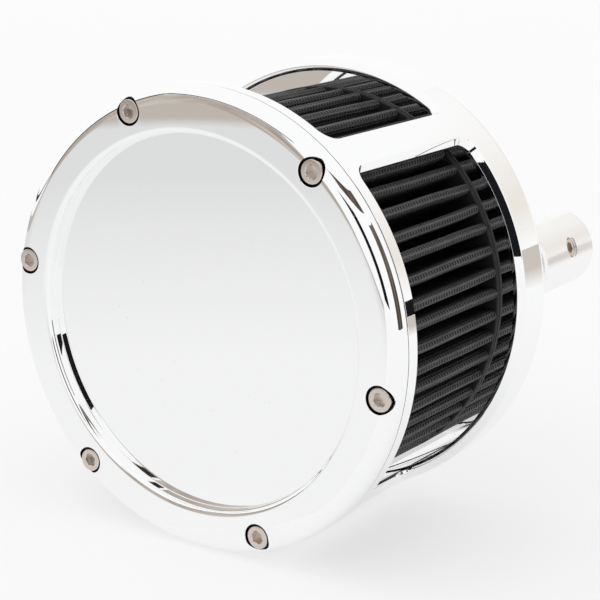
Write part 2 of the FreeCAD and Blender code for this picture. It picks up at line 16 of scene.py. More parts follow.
from mathutils import Matrix, Vector


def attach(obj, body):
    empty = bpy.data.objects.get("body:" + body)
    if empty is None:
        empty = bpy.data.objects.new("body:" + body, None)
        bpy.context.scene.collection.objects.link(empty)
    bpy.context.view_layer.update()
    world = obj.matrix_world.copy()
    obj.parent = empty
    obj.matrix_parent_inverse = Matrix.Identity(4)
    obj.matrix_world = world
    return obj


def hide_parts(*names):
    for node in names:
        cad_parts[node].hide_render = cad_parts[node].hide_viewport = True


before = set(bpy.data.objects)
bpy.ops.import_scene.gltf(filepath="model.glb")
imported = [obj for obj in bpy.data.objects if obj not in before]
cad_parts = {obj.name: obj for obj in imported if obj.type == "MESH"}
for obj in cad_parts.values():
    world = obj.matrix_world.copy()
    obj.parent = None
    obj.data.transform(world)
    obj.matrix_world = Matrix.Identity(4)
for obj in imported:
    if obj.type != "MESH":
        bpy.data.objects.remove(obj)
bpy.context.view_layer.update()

MM = 0.001
print("nodes:", len(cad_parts))


# %% [markdown]
# ## Small hands for the work
#
# Most pieces here were made on a lathe. By hand you would draw half of the section as a
# chain of points, round its corners and spin it about the axis, so the helper below does
# that. The axis is +Y, from the front cover back to the engine.

# %% Select and apply
def clear_selection():
    """Leave edit mode and deselect everything."""
    if bpy.context.object and bpy.context.object.mode != "OBJECT":
        bpy.ops.object.mode_set(mode="OBJECT")
    bpy.ops.object.select_all(action="DESELECT")


def make_active(piece):
    """Select one piece alone and make it active."""
    clear_selection()
    piece.select_set(True)
    bpy.context.view_layer.objects.active = piece


def pick_points(piece, rule):
    """In edit mode, select the points that pass a rule, and nothing else."""
    work = bmesh.from_edit_mesh(piece.data)
    work.select_mode = {"VERT"}
    for point in work.verts:
        point.select = rule(point.co)
    work.select_flush_mode()
    bmesh.update_edit_mesh(piece.data)


def face_outwards(piece):
    """In edit mode, make every face point out of the piece."""
    bpy.ops.mesh.select_all(action="SELECT")
    bpy.ops.mesh.normals_make_consistent(inside=False)
    if bmesh.from_edit_mesh(piece.data).calc_volume(signed=True) < 0:
        bpy.ops.mesh.flip_normals()


# %% Turn a section on the lathe
MERGE_DISTANCE = 0.002 * MM
PICK_DISTANCE = 0.004 * MM


def turned(name, outline, steps=360, start=0.0, sweep=360.0):
    """Spin a section about +Y. Each corner is (radius, place along Y, rounding), in mm."""
    clear_selection()
    bpy.ops.mesh.primitive_plane_add(size=MM)
    piece = bpy.context.object
    piece.name = name
    bpy.ops.object.mode_set(mode="EDIT")
    bpy.ops.mesh.select_mode(type="VERT")
    bpy.ops.mesh.merge(type="CENTER")
    closed = outline[0][:2] == outline[-1][:2]
    bpy.ops.transform.translate(value=(outline[0][0] * MM, outline[0][1] * MM, 0))
    for here, there in zip(outline, outline[1:]):
        step = ((there[0] - here[0]) * MM, (there[1] - here[1]) * MM, 0)
        bpy.ops.mesh.extrude_vertices_move(TRANSFORM_OT_translate={"value": step})
    if closed:
        bpy.ops.mesh.select_all(action="SELECT")
        bpy.ops.mesh.remove_doubles(threshold=MERGE_DISTANCE)
    for corner in outline:
        if len(corner) < 3 or corner[2] == 0:
            continue
        spot = Vector((corner[0] * MM, corner[1] * MM, 0))
        pick_points(piece, lambda place: (place - spot).length < PICK_DISTANCE)
        bpy.ops.mesh.bevel(
            offset=corner[2] * MM, offset_type="OFFSET", affect="VERTICES",
            segments=corner[3] if len(corner) > 3 else 5, profile=0.5, clamp_overlap=False,
        )
    bpy.ops.mesh.select_all(action="SELECT")
    if start:
        bpy.ops.transform.rotate(
            value=math.radians(start), orient_axis="Y", center_override=(0, 0, 0))
    bpy.ops.mesh.spin(
        steps=steps, angle=math.radians(sweep), center=(0, 0, 0), axis=(0, 1, 0))
    bpy.ops.mesh.select_all(action="SELECT")
    bpy.ops.mesh.remove_doubles(threshold=MERGE_DISTANCE)
    if sweep < 360:
        bpy.ops.mesh.select_all(action="DESELECT")
        bpy.ops.mesh.select_non_manifold()
        bpy.ops.mesh.edge_face_add()
    face_outwards(piece)
    bpy.ops.object.mode_set(mode="OBJECT")
    return piece


# %% Cut, join and smooth
def apply_modifier(piece, kind, **settings):
    """Add one modifier and apply it straight away."""
    make_active(piece)
    modifier = piece.modifiers.new(kind.lower(), kind)
    for key, value in settings.items():
        setattr(modifier, key, value)
    bpy.ops.object.modifier_apply(modifier=modifier.name)


def cut_away(piece, tool):
    """Take a cutting tool's space out of a piece and throw the tool away."""
    apply_modifier(piece, "BOOLEAN", object=tool, operation="DIFFERENCE", solver="EXACT")
    bpy.data.objects.remove(tool)


def join(name, parts):
    """Join several parts into one object."""
    clear_selection()
    for part in parts:
        part.select_set(True)
    bpy.context.view_layer.objects.active = parts[0]
    if len(parts) > 1:
        bpy.ops.object.join()
    parts[0].name = name
    return parts[0]


EDGE_ANGLE = 32.0
FACE_WEIGHT = 60


def smooth_piece(piece):
    """Smooth the turned faces, keep the edges, and let the wide faces rule the normals."""
    make_active(piece)
    bpy.ops.object.shade_smooth_by_angle(angle=math.radians(EDGE_ANGLE))
    apply_modifier(piece, "WEIGHTED_NORMAL", keep_sharp=True, weight=FACE_WEIGHT)


def turn_copies(source, name, angles):
    """Copies of a part turned about +Y, each with its own mesh, joined into one object."""
    copies = []
    for angle in angles:
        copy = source.copy()
        copy.data = source.data.copy()
        bpy.context.scene.collection.objects.link(copy)
        copy.data.transform(Matrix.Rotation(math.radians(-angle), 4, "Y"))
        copies.append(copy)
    bpy.data.objects.remove(source)
    return join(name, copies)


def round_tool(radius, front, rear, across, sides=64, turn=0.0):
    """A round or six-sided cutting tool along +Y, centred at a radius on +X."""
    clear_selection()
    bpy.ops.mesh.primitive_cylinder_add(
        vertices=sides, radius=radius * MM, depth=(rear - front) * MM,
        location=(across * MM, (front + rear) / 2 * MM, 0),
        rotation=(math.pi / 2, math.radians(turn), 0))
    bpy.ops.object.transform_apply(location=True, rotation=True, scale=True)
    return bpy.context.object


# %% [markdown]
# ## The front cover
#
# On the real cleaner the cover is a thick polished disc with a shallow flat recess, a
# rounded outer shoulder and a spigot that plugs the housing. Everything but the screw
# wells is round, so its section is turned, and the six wells are cut afterwards.

# %% Turn the cover
FRONT = -113.5
JOINT = -106.5
JOINT_GAP = 0.08
BODY_RADIUS = 89.0
SHOULDER = 6.7
RECESS_RADIUS = 71.5
RECESS_FLOOR = -108.3
SPIGOT_RADIUS = 78.2
SPIGOT_INSIDE = 70.0
SPIGOT_END = -100.7
SEAL_RADIUS = 76.6
SEAL_FRONT = -104.8
SEAL_REAR = -102.4
COVER_BACK = -104.3

cover = turned("front_cover_shell", [
    (0, RECESS_FLOOR),
    (35, RECESS_FLOOR),
    (69.0, RECESS_FLOOR),
    (RECESS_RADIUS, RECESS_FLOOR, 0.35, 4),
    (RECESS_RADIUS, FRONT, 2.5, 12),
    (74.6, FRONT),
    (BODY_RADIUS, FRONT, SHOULDER, 22),
    (BODY_RADIUS, JOINT - JOINT_GAP, 0.5, 5),
    (SPIGOT_RADIUS, JOINT - JOINT_GAP, 0.15, 2),
    (SPIGOT_RADIUS, SEAL_FRONT, 0.1, 2),
    (SEAL_RADIUS, SEAL_FRONT),
    (SEAL_RADIUS, SEAL_REAR),
    (SPIGOT_RADIUS, SEAL_REAR, 0.1, 2),
    (SPIGOT_RADIUS, SPIGOT_END, 0.6, 3),
    (SPIGOT_INSIDE, SPIGOT_END, 0.6, 3),
    (SPIGOT_INSIDE, COVER_BACK, 0.8, 3),
    (0, COVER_BACK),
])
print("cover points:", len(cover.data.vertices))

# %% Cut the six screw wells
SCREW_ANGLES = [50.3 + 60 * index for index in range(6)]
SCREW_RADIUS = 82.3
WELL_RADIUS = 5.3
WELL_MOUTH = 5.5
WELL_FLOOR = -108.7
IN_FRONT = -116.0

well = turned("well_tool", [
    (0, WELL_FLOOR),
    (WELL_RADIUS, WELL_FLOOR, 0.4, 3),
    (WELL_RADIUS, -113.25),
    (5.36, -113.4),
    (WELL_MOUTH, -113.52),
    (WELL_MOUTH, IN_FRONT),
    (0, IN_FRONT),
], steps=72)
well.data.transform(Matrix.Translation((SCREW_RADIUS * MM, 0, 0)))
cut_away(cover, turn_copies(well, "well_tools", SCREW_ANGLES))
smooth_piece(cover)
print("cover faces after the wells:", len(cover.data.polygons))

# %% [markdown]
# ## The cover screws
#
# Six stainless socket heads sit in the wells, flush with the rim. One head is turned with a
# softly rounded edge, gets its six-sided socket with a small countersink, and is copied.
# The sockets stop at different angles, as they do when screws are tightened by hand.

# %% Turn one head and cut its socket
HEAD_FACE = -113.15
HEAD_RADIUS = 4.5
HEAD_BACK = -108.75
SHANK_RADIUS = 2.5
SHANK_END = -98.6
SOCKET_RADIUS = 2.6

head = turned("cover_screw_heads", [
    (0, HEAD_FACE),
    (HEAD_RADIUS, HEAD_FACE, 0.45, 5),
    (HEAD_RADIUS, HEAD_BACK, 0.2, 2),
    (SHANK_RADIUS, HEAD_BACK),
    (SHANK_RADIUS, SHANK_END, 0.4, 2),
    (0, SHANK_END),
], steps=72)
cut_away(head, turned("countersink", [
    (0, -112.85), (2.4, -112.85), (2.72, -113.2), (2.72, -114), (0, -114)], steps=48))
cut_away(head, round_tool(SOCKET_RADIUS, -114, -110.9, 0, sides=6))
cut_away(head, turned("socket_cone", [
    (0, -110.2), (1.9, -110.95), (0, -110.95)], steps=24))
smooth_piece(head)

# %% Copy the head to the six wells
SOCKET_TURNS = (8, 27, 50, 14, 36, 3)
heads = []
for angle, turn in zip(SCREW_ANGLES, SOCKET_TURNS):
    copy = head.copy()
    copy.data = head.data.copy()
    bpy.context.scene.collection.objects.link(copy)
    copy.data.transform(
        Matrix.Rotation(math.radians(-angle), 4, "Y")
        @ Matrix.Translation((SCREW_RADIUS * MM, 0, 0))
        @ Matrix.Rotation(math.radians(turn), 4, "Y"))
    heads.append(copy)
bpy.data.objects.remove(head)
cover_screws = join("cover_screw_heads", heads)
print("screw faces:", len(cover_screws.data.polygons))

# %% [markdown]
# ## The housing
#
# The housing is one solid ring of billet with a thick floor. It is turned first. The
# windows are milled: each tool is drawn flat as a strip with round corners, raised
# level by level so that its sides flare where the cutter broke the edges, and then wrapped
# round the wall. Inside the broken edge a low lip stays, and it draws a thin line.

# %% Turn the housing
FLOOR = -20.1
WINDOW_FRONT = -100.5
RING_BORE = 78.6
WALL_INSIDE = 84.5
MID_WALL = -60.0
THROTTLE_BORE = 26.0

housing = turned("housing_body", [
    (RING_BORE, JOINT + JOINT_GAP, 0.15, 2),
    (BODY_RADIUS, JOINT + JOINT_GAP, 0.5, 5),
    (BODY_RADIUS, MID_WALL),
    (BODY_RADIUS, 0, 6.0, 18),
    (54.0, 0),
    (54.0, -1.0),
    (51.0, -1.0),
    (51.0, 0, 0.2, 2),
    (32.0, 0),
    (32.0, -2.0),
    (29.0, -2.0),
    (29.0, 0),
    (THROTTLE_BORE, 0, 0.4, 3),
    (THROTTLE_BORE, FLOOR, 0.2, 2),
    (52.0, FLOOR),
    (WALL_INSIDE, FLOOR, 0.5, 4),
    (WALL_INSIDE, MID_WALL),
    (WALL_INSIDE, WINDOW_FRONT, 0.4, 3),
    (RING_BORE, WINDOW_FRONT, 0.4, 3),
    (RING_BORE, JOINT + JOINT_GAP, 0.15, 2),
], steps=360, start=0.8)
print("housing points:", len(housing.data.vertices))


# %% Draw the window tool flat and wrap it
WINDOW_REAR = FLOOR
WINDOW_CORNER = 6.5
WINDOW_SPAN = 111.6
CORNER_STEPS = 12
SIDE_STEPS = 120
# The tool's levels: radius, and how far its sides stand out there.
FLARES = (
    (80.6, -1.0), (84.1, -1.0), (84.75, -1.3), (85.1, -1.5), (86.1, -1.55), (86.3, -1.48),
    (88.3, -0.2), (88.6, -0.03), (88.82, 0.12), (89.3, 0.5), (92.0, 0.5))


def window_columns():
    """Half the flat outline: place along the arc, place across and outward direction."""
    reach = math.radians(WINDOW_SPAN / 2) * BODY_RADIUS
    rise = (WINDOW_REAR - WINDOW_FRONT) / 2
    columns = []
    for index in range(CORNER_STEPS, -1, -1):
        lean = math.pi / 2 * index / CORNER_STEPS
        columns.append((-(reach - WINDOW_CORNER) - WINDOW_CORNER * math.sin(lean),
                        rise - WINDOW_CORNER + WINDOW_CORNER * math.cos(lean),
                        (-math.sin(lean), math.cos(lean))))
    flat = reach - WINDOW_CORNER
    for index in range(1, SIDE_STEPS):
        columns.append((-flat + 2 * flat * index / SIDE_STEPS, rise, (0, 1)))
    mirrored = [
        (-along, across, (-out[0], out[1]))
        for along, across, out in columns[:CORNER_STEPS + 1]]
    return columns + mirrored[::-1]


def window_tool(name):
    """The milling tool for one window, centred on +X."""
    columns = window_columns()
    clear_selection()
    bpy.ops.mesh.primitive_grid_add(x_subdivisions=len(columns) - 1, y_subdivisions=1, size=2)
    tool = bpy.context.object
    tool.name = name
    bpy.ops.object.mode_set(mode="EDIT")
    bpy.ops.mesh.select_all(action="SELECT")
    middle = (WINDOW_REAR + WINDOW_FRONT) / 2
    between_rows = 0.0
    for level, (radius, flare) in enumerate(FLARES):
        if level:
            bpy.ops.mesh.extrude_region_move(TRANSFORM_OT_translate={"value": (0, 0, 1)})
        work = bmesh.from_edit_mesh(tool.data)
        for side in (-1, 1):
            row = [
                point for point in work.verts
                if point.select and (point.co.y - between_rows) * side > 0]
            row.sort(key=lambda point: point.co.x)
            for point, (along, across, out) in zip(row, columns):
                point.co = (
                    along + out[0] * flare, middle + side * (across + out[1] * flare), radius)
        bmesh.update_edit_mesh(tool.data)
        between_rows = middle
    work = bmesh.from_edit_mesh(tool.data)
    for point in work.verts:
        angle = point.co.x / BODY_RADIUS
        radius = point.co.z
        point.co = Vector((radius * math.cos(angle), point.co.y, radius * math.sin(angle))) * MM
    bmesh.update_edit_mesh(tool.data)
    face_outwards(tool)
    bpy.ops.object.mode_set(mode="OBJECT")
    return tool


# %% Mill the three windows
STRUT_ANGLES = [50.3, 170.3, 290.3]
for number, angle in enumerate(STRUT_ANGLES, 1):
    tool = window_tool("window_tool_%d" % number)
    cut_away(housing, turn_copies(tool, tool.name, [angle + 60]))
    check = bmesh.new()
    check.from_mesh(housing.data)
    print("window", number, "volume cm3", round(check.calc_volume() * 1e6, 1),
          "open edges", sum(not edge.is_manifold for edge in check.edges))
    check.free()
print("housing faces after the windows:", len(housing.data.polygons))

# %% Cut the pockets and bolt holes of the rear face
RELIEF_INSIDE = 53.0
RELIEF_OUTSIDE = 69.0
RELIEF_DEPTH = -13.0
RELIEF_SPAN = 112
BOLT_RADIUS = 3.3
BOLT_CIRCLE = 42.0

relief = [
    (RELIEF_INSIDE, 0.5),
    (RELIEF_OUTSIDE, 0.5),
    (RELIEF_OUTSIDE, RELIEF_DEPTH, 0.8, 3),
    (RELIEF_INSIDE, RELIEF_DEPTH, 0.8, 3),
    (RELIEF_INSIDE, 0.5),
]
for name, middle in (("upper_relief", 90), ("lower_relief", 270)):
    tool = turned(name, relief, steps=RELIEF_SPAN, sweep=RELIEF_SPAN)
    points = tool.data.vertices
    centre = sum((point.co for point in points), Vector()) / len(points)
    now = math.degrees(math.atan2(centre.z, centre.x))
    tool.data.transform(Matrix.Rotation(math.radians(now - middle), 4, "Y"))
    cut_away(housing, tool)
bolt_tool = round_tool(BOLT_RADIUS, FLOOR - 1, 1, BOLT_CIRCLE, sides=48)
cut_away(housing, turn_copies(bolt_tool, "bolt_tools", (90, 210, 330)))
smooth_piece(housing)
print("housing faces:", len(housing.data.polygons))

# %% [markdown]
# ## The filter media
#
# The filter is cotton gauze between two layers of black wire cloth, folded into fifty-six
# deep pleats. One pleat's section is drawn, repeated round the axis with spin, and the
# closed star is drawn out along +Y. Real pleats are never quite even, so each crest
# sways a little, and less so towards its root.

# %% Draw one pleat and repeat it
PLEATS = 56
FIRST_PLEAT = 2.9
MEDIA_FRONT = -99.0
MEDIA_REAR = -21.9
ROOT_RADIUS = 59.3
CREST_CENTRE = 75.9
CREST_HALF = 2.05
CLOTH_THICKNESS = 0.9
pitch = 2 * math.pi / PLEATS

flank = [
    (ROOT_RADIUS - 0.35, pitch / 2 * ROOT_RADIUS),
    (ROOT_RADIUS, 2.75),
    (ROOT_RADIUS + 0.7, 2.4),
    (66.0, 2.25),
    (72.0, 2.12),
]
section = [(radius, -across) for radius, across in flank]
for index in range(11):
    lean = math.radians(-90 + 18 * index)
    section.append((CREST_CENTRE + CREST_HALF * math.cos(lean), CREST_HALF * math.sin(lean)))
section += flank[::-1]


def on_section(radius, across):
    """A section point at a radius, moved sideways along the arc, in metres."""
    angle = math.radians(FIRST_PLEAT) + across / radius
    return Vector((radius * math.cos(angle), 0, radius * math.sin(angle))) * MM


clear_selection()
bpy.ops.mesh.primitive_plane_add(size=MM)
media = bpy.context.object
media.name = "pleated_media"
bpy.ops.object.mode_set(mode="EDIT")
bpy.ops.mesh.select_mode(type="VERT")
bpy.ops.mesh.merge(type="CENTER")
places = [on_section(*corner) for corner in section]
bpy.ops.transform.translate(value=places[0] + Vector((0, MEDIA_FRONT * MM, 0)))
for here, there in zip(places, places[1:]):
    bpy.ops.mesh.extrude_vertices_move(TRANSFORM_OT_translate={"value": there - here})
bpy.ops.mesh.select_all(action="SELECT")
bpy.ops.mesh.spin(steps=PLEATS, dupli=True, angle=2 * math.pi, center=(0, 0, 0), axis=(0, 1, 0))
bpy.ops.mesh.select_all(action="SELECT")
bpy.ops.mesh.remove_doubles(threshold=0.03 * MM)
print("star points:", len(media.data.vertices))

# %% Draw the star out and let the crests sway
MEDIA_STEPS = 20
step = (MEDIA_REAR - MEDIA_FRONT) / MEDIA_STEPS * MM
bpy.ops.mesh.select_all(action="SELECT")
for _ in range(MEDIA_STEPS):
    bpy.ops.mesh.extrude_region_move(TRANSFORM_OT_translate={"value": (0, step, 0)})
bpy.ops.mesh.select_all(action="SELECT")
bpy.ops.mesh.normals_make_consistent(inside=False)
bpy.ops.object.mode_set(mode="OBJECT")


def sway(place):
    """Move one media point by the small unevenness of hand-set pleats."""
    radius = math.hypot(place.x, place.z)
    angle = math.atan2(place.z, place.x)
    fold = round((angle - math.radians(FIRST_PLEAT)) / pitch)
    along = (place.y / MM - MEDIA_FRONT) / (MEDIA_REAR - MEDIA_FRONT)
    weight = min(max((radius / MM - ROOT_RADIUS) / 17.0, 0), 1)
    weight *= 0.55 + 0.45 * math.sin(math.pi * min(max(along, 0), 1)) ** 0.5
    whole = 0.40 * math.sin(fold * 4.23 + 0.6)
    bow = math.sin(math.pi * along + 0.7 * math.sin(fold * 1.7))
    lean = whole + 0.42 * math.sin(fold * 2.399 + 1.3) * bow
    ripple = 0.12 * math.sin(9.0 * along + fold * 4.1)
    dip = 0.22 * (0.5 + 0.5 * math.sin(fold * 3.7 + 5.0 * along))
    angle += weight * (lean + ripple) * MM / radius
    radius -= weight * dip * MM
    return Vector((radius * math.cos(angle), place.y, radius * math.sin(angle)))


print("media faces:", len(media.data.polygons))

# %% Give the media a map that follows the folds
fold_length = sum((there - here).length for here, there in zip(places, places[1:]))


def fold_run(place):
    """How far along the folded cloth a point lies, in metres."""
    angle = math.atan2(place.z, place.x) - math.radians(FIRST_PLEAT)
    fold = round(angle / pitch)
    across = (angle - fold * pitch) * math.hypot(place.x, place.z)
    radius = math.hypot(place.x, place.z)
    half = fold_length / 2
    depth = CREST_CENTRE * MM - radius
    if depth > 0:
        side = half - (CREST_HALF * MM * math.pi / 2 + depth)
        return fold * fold_length + (side if across < 0 else fold_length - side)
    round_crest = math.atan2(across, CREST_HALF * MM * 0.35 - depth)
    return fold * fold_length + half + CREST_HALF * MM * round_crest


cloth_map = media.data.uv_layers.new(name="cloth")
for face in media.data.polygons:
    runs = [fold_run(media.data.vertices[index].co) for index in face.vertices]
    first = runs[0]
    for loop, index, run in zip(face.loop_indices, face.vertices, runs):
        if abs(run - first) > fold_length / 2:
            run += fold_length if run < first else -fold_length
        cloth_map.data[loop].uv = (run / MM, media.data.vertices[index].co.y / MM)
for point in media.data.vertices:
    point.co = sway(point.co)
apply_modifier(media, "SOLIDIFY", thickness=CLOTH_THICKNESS * MM, offset=-1.0)
make_active(media)
bpy.ops.object.shade_smooth_by_angle(angle=math.radians(50))
print("media faces with its thickness:", len(media.data.polygons))

# %% Pot the ends of the pleats in rubber
# A thin ring of rubber holds the cloth at each end, as wide as the pleats.
POTTING_INSIDE = 58.2
POTTING_OUTSIDE = 77.95
POTTING_DEPTH = 2.0

potting = []
for name, face, depth in (
        ("front_potting", MEDIA_FRONT - 1.6, POTTING_DEPTH),
        ("rear_potting", MEDIA_REAR + 1.7, -POTTING_DEPTH)):
    potting.append(turned(name, [
        (POTTING_INSIDE, face),
        (POTTING_OUTSIDE, face, 0.35, 3),
        (POTTING_OUTSIDE, face + depth, 0.5, 3),
        (POTTING_INSIDE, face + depth),
        (POTTING_INSIDE, face),
    ], steps=210))
    smooth_piece(potting[-1])

# %% [markdown]
# ## The breather spacers
#
# Two short chrome stand-offs carry crankcase breath from the heads into the housing. They
# are turned with a chamfer at each end, bored, grooved for their seals, and cross-drilled
# for a small set screw.

# %% Turn a spacer and drill its port
SPACER_X = 72.0
SPACER_Z = 10.4
SPACER_RADIUS = 15.55
SPACER_END = 42.0
GROOVE_INSIDE = 10.6
GROOVE_OUTSIDE = 12.4
GROOVE_DEPTH = 1.4
BREATHER_BORE = 6.35
BREATHER_END = 17.0
PORT_Y = 23.4
PORT_ANGLE = 17.8
PORT_FACE = 14.6
SIDES = (("right", 1), ("left", -1))
to_port = Matrix.Translation((0, PORT_Y * MM, 0)) @ Matrix.Rotation(math.radians(-90), 4, "Z")


def port_lean(side):
    """The angle at which a spacer's port looks out, side 1 for right and -1 for left."""
    return math.radians(PORT_ANGLE if side > 0 else 180 - PORT_ANGLE)


def to_place(side):
    """The move from the axis to a spacer's place, its port turned outwards."""
    place = Matrix.Translation((side * SPACER_X * MM, 0, SPACER_Z * MM))
    return place @ Matrix.Rotation(-port_lean(side), 4, "Y")


def spacer(name, side):
    """One breather spacer."""
    piece = turned(name, [
        (0, 11.5),
        (3.2, 10.5),
        (3.2, 0),
        (GROOVE_INSIDE, 0),
        (GROOVE_INSIDE, GROOVE_DEPTH),
        (GROOVE_OUTSIDE, GROOVE_DEPTH),
        (GROOVE_OUTSIDE, 0),
        (SPACER_RADIUS, 0, 1.0, 1),
        (SPACER_RADIUS, SPACER_END, 1.0, 1),
        (GROOVE_OUTSIDE, SPACER_END),
        (GROOVE_OUTSIDE, SPACER_END - GROOVE_DEPTH),
        (GROOVE_INSIDE, SPACER_END - GROOVE_DEPTH),
        (GROOVE_INSIDE, SPACER_END),
        (BREATHER_BORE, SPACER_END, 0.4, 2),
        (BREATHER_BORE, BREATHER_END, 0.4, 2),
        (0, BREATHER_END),
    ], steps=144)
    make_active(piece)
    drill = turned("port_drill", [
        (0, 5.0),
        (4.0, 5.0),
        (4.0, PORT_FACE, 0.1, 1),
        (4.25, PORT_FACE),
        (4.25, 15.3),
        (4.6, 15.75),
        (4.6, 19.0),
        (0, 19.0),
    ], steps=64)
    drill.data.transform(to_port)
    cut_away(piece, drill)
    piece.data.transform(to_place(side))
    smooth_piece(piece)
    return piece


spacers = {side: spacer("breather_spacer_body_" + name, side) for name, side in SIDES}
print("spacer faces:", len(spacers[1].data.polygons))


# %% Turn a set screw for each port
def port_screw(name, side):
    """A short threaded plug with a six-sided socket, set just under the spacer's face."""
    crests = []
    for index in range(6):
        start = 9.9 + 0.75 * index
        crests += [(3.98, start), (3.98, start + 0.12), (3.6, start + 0.42), (3.6, start + 0.5)]
    ends = [(0, 9.75), (3.4, 9.75)], [(3.4, PORT_FACE), (0, PORT_FACE)]
    piece = turned(name, ends[0] + crests + ends[1], steps=64)
    make_active(piece)
    cut_away(piece, round_tool(2.31, 12.1, 16.0, 0, sides=6, turn=11))
    cut_away(piece, turned("socket_mouth", [
        (0, 14.3), (2.15, 14.3), (2.5, 14.65), (2.5, 15.5), (0, 15.5)], steps=48))
    piece.data.transform(to_place(side) @ to_port)
    smooth_piece(piece)
    return piece


port_screws = {side: port_screw("port_plug_" + name, side) for name, side in SIDES}
print("plug faces:", len(port_screws[1].data.polygons))

# %% [markdown]
# ## Let the pieces ride
#
# Nothing on this cleaner moves, so every piece rides the one body, root, and stands for
# the measured node that it refines. The other nodes keep their own shapes.

# %% Replace and ride
replacements = [
    (cover, "chrome", ["front_cover"]),
    (cover_screws, "screw_steel", ["cover_screws"]),
    (housing, "chrome", ["housing"]),
    (media, "filter_media", ["filter_media"]),
    (potting[0], "filter_cap", ["filter_front_cap"]),
    (potting[1], "filter_cap", ["filter_rear_cap"]),
    (spacers[1], "spacer_chrome", ["breather_spacer_right"]),
    (spacers[-1], "spacer_chrome", ["breather_spacer_left"]),
    (port_screws[1], "screw_steel", ["port_screw_right"]),
    (port_screws[-1], "screw_steel", ["port_screw_left"]),
]
for piece, slot, nodes in replacements:
    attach(piece, "root")
    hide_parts(*nodes)
    print(piece.name, "stands for", nodes)


# %% [markdown]
# ## Finishes
#
# Polished chrome is almost all reflection, so what makes it real is small: a faint haze
# from wiping, a slight waviness of the polish and a few specks. The shader groups below are
# built once and used with different values in each material.

# %% Start a material
def new_material(name):
    """A node material with an empty Principled shader."""
    material = bpy.data.materials.new(name)
    material.use_nodes = True
    shader = material.node_tree.nodes["Principled BSDF"]
    return material, material.node_tree, shader


def object_coordinates(tree, scale=(1, 1, 1)):
    """Object coordinates in metres, times a scale for each axis."""
    source = tree.nodes.new("ShaderNodeTexCoord")
    mapping = tree.nodes.new("ShaderNodeMapping")
    mapping.inputs["Scale"].default_value = scale
    tree.links.new(source.outputs["Object"], mapping.inputs["Vector"])
    return mapping.outputs["Vector"]


def group_sockets(name, inputs, outputs):
    """An empty shader node group with named inputs and outputs."""
    group = bpy.data.node_groups.new(name, "ShaderNodeTree")
    for label, kind, value in inputs:
        socket = group.interface.new_socket(name=label, in_out="INPUT", socket_type=kind)
        if value is not None:
            socket.default_value = value
    for label, kind in outputs:
        group.interface.new_socket(name=label, in_out="OUTPUT", socket_type=kind)
    return group, group.nodes.new("NodeGroupInput"), group.nodes.new("NodeGroupOutput")


def math_node(tree, operation, first, second=None, third=None):
    """One Math node; each value is a socket or a number."""
    node = tree.nodes.new("ShaderNodeMath")
    node.operation = operation
    for index, value in enumerate((first, second, third)):
        if value is None:
            continue
        if isinstance(value, (int, float)):
            node.inputs[index].default_value = value
        else:
            tree.links.new(value, node.inputs[index])
    return node.outputs[0]


def noise_node(tree, vector, scale, detail=3.0):
    """A noise texture's value."""
    node = tree.nodes.new("ShaderNodeTexNoise")
    node.inputs["Scale"].default_value = scale
    node.inputs["Detail"].default_value = detail
    tree.links.new(vector, node.inputs["Vector"])
    return node.outputs["Fac"]


def colour_mix(tree, first, second, factor):
    """A colour between two; each of the two is a plain colour or a socket."""
    node = tree.nodes.new("ShaderNodeMix")
    node.data_type = "RGBA"
    for label, value in (("A", first), ("B", second)):
        if isinstance(value, tuple):
            node.inputs[label].default_value = (*value, 1)
        else:
            tree.links.new(value, node.inputs[label])
    tree.links.new(factor, node.inputs["Factor"])
    return node.outputs["Result"]


def share_between(tree, value, low, high, least=0.0):
    """Least at the low value, 1 at the high one, and even between them."""
    node = tree.nodes.new("ShaderNodeMapRange")
    node.inputs["From Min"].default_value = low
    node.inputs["From Max"].default_value = high
    node.inputs["To Min"].default_value = least
    tree.links.new(value, node.inputs["Value"])
    return node.outputs["Result"]


def add_bump(tree, shader, height, strength, distance):
    """Let a height bend the shader's normal; the distance is in metres."""
    bump = tree.nodes.new("ShaderNodeBump")
    bump.inputs["Strength"].default_value = strength
    bump.inputs["Distance"].default_value = distance
    tree.links.new(height, bump.inputs["Height"])
    tree.links.new(bump.outputs["Normal"], shader.inputs["Normal"])


# %% Build the wiped-metal group
def build_wiped_metal():
    """Roughness and height of polished metal: haze, fine wipe marks and specks."""
    group, start, end = group_sockets("wiped_metal", [
        ("Vector", "NodeSocketVector", None),
        ("Roughness", "NodeSocketFloat", 0.04),
        ("Haze", "NodeSocketFloat", 0.03),
        ("Wave", "NodeSocketFloat", 0.5),
    ], [
        ("Roughness", "NodeSocketFloat"),
        ("Height", "NodeSocketFloat"),
        ("Speck", "NodeSocketFloat"),
    ])
    vector = start.outputs["Vector"]
    cloudy = math_node(group, "POWER", noise_node(group, vector, 26.0, 4.0), 2.5)
    haze = math_node(group, "MULTIPLY", cloudy, start.outputs["Haze"])
    grain = math_node(group, "MULTIPLY", noise_node(group, vector, 900.0, 2.0), 0.008)
    wiped = math_node(group, "ADD", haze, grain)
    rough = math_node(group, "ADD", start.outputs["Roughness"], wiped)
    cells = group.nodes.new("ShaderNodeTexVoronoi")
    cells.inputs["Scale"].default_value = 150.0
    group.links.new(vector, cells.inputs["Vector"])
    speck = math_node(group, "LESS_THAN", cells.outputs["Distance"], 0.035)
    group.links.new(speck, end.inputs["Speck"])
    rough = math_node(group, "ADD", rough, math_node(group, "MULTIPLY", speck, 0.25))
    group.links.new(rough, end.inputs["Roughness"])
    wave = noise_node(group, vector, 60.0, 1.0)
    wave = math_node(group, "MULTIPLY", wave, start.outputs["Wave"])
    group.links.new(wave, end.inputs["Height"])
    return group


wiped_metal = build_wiped_metal()


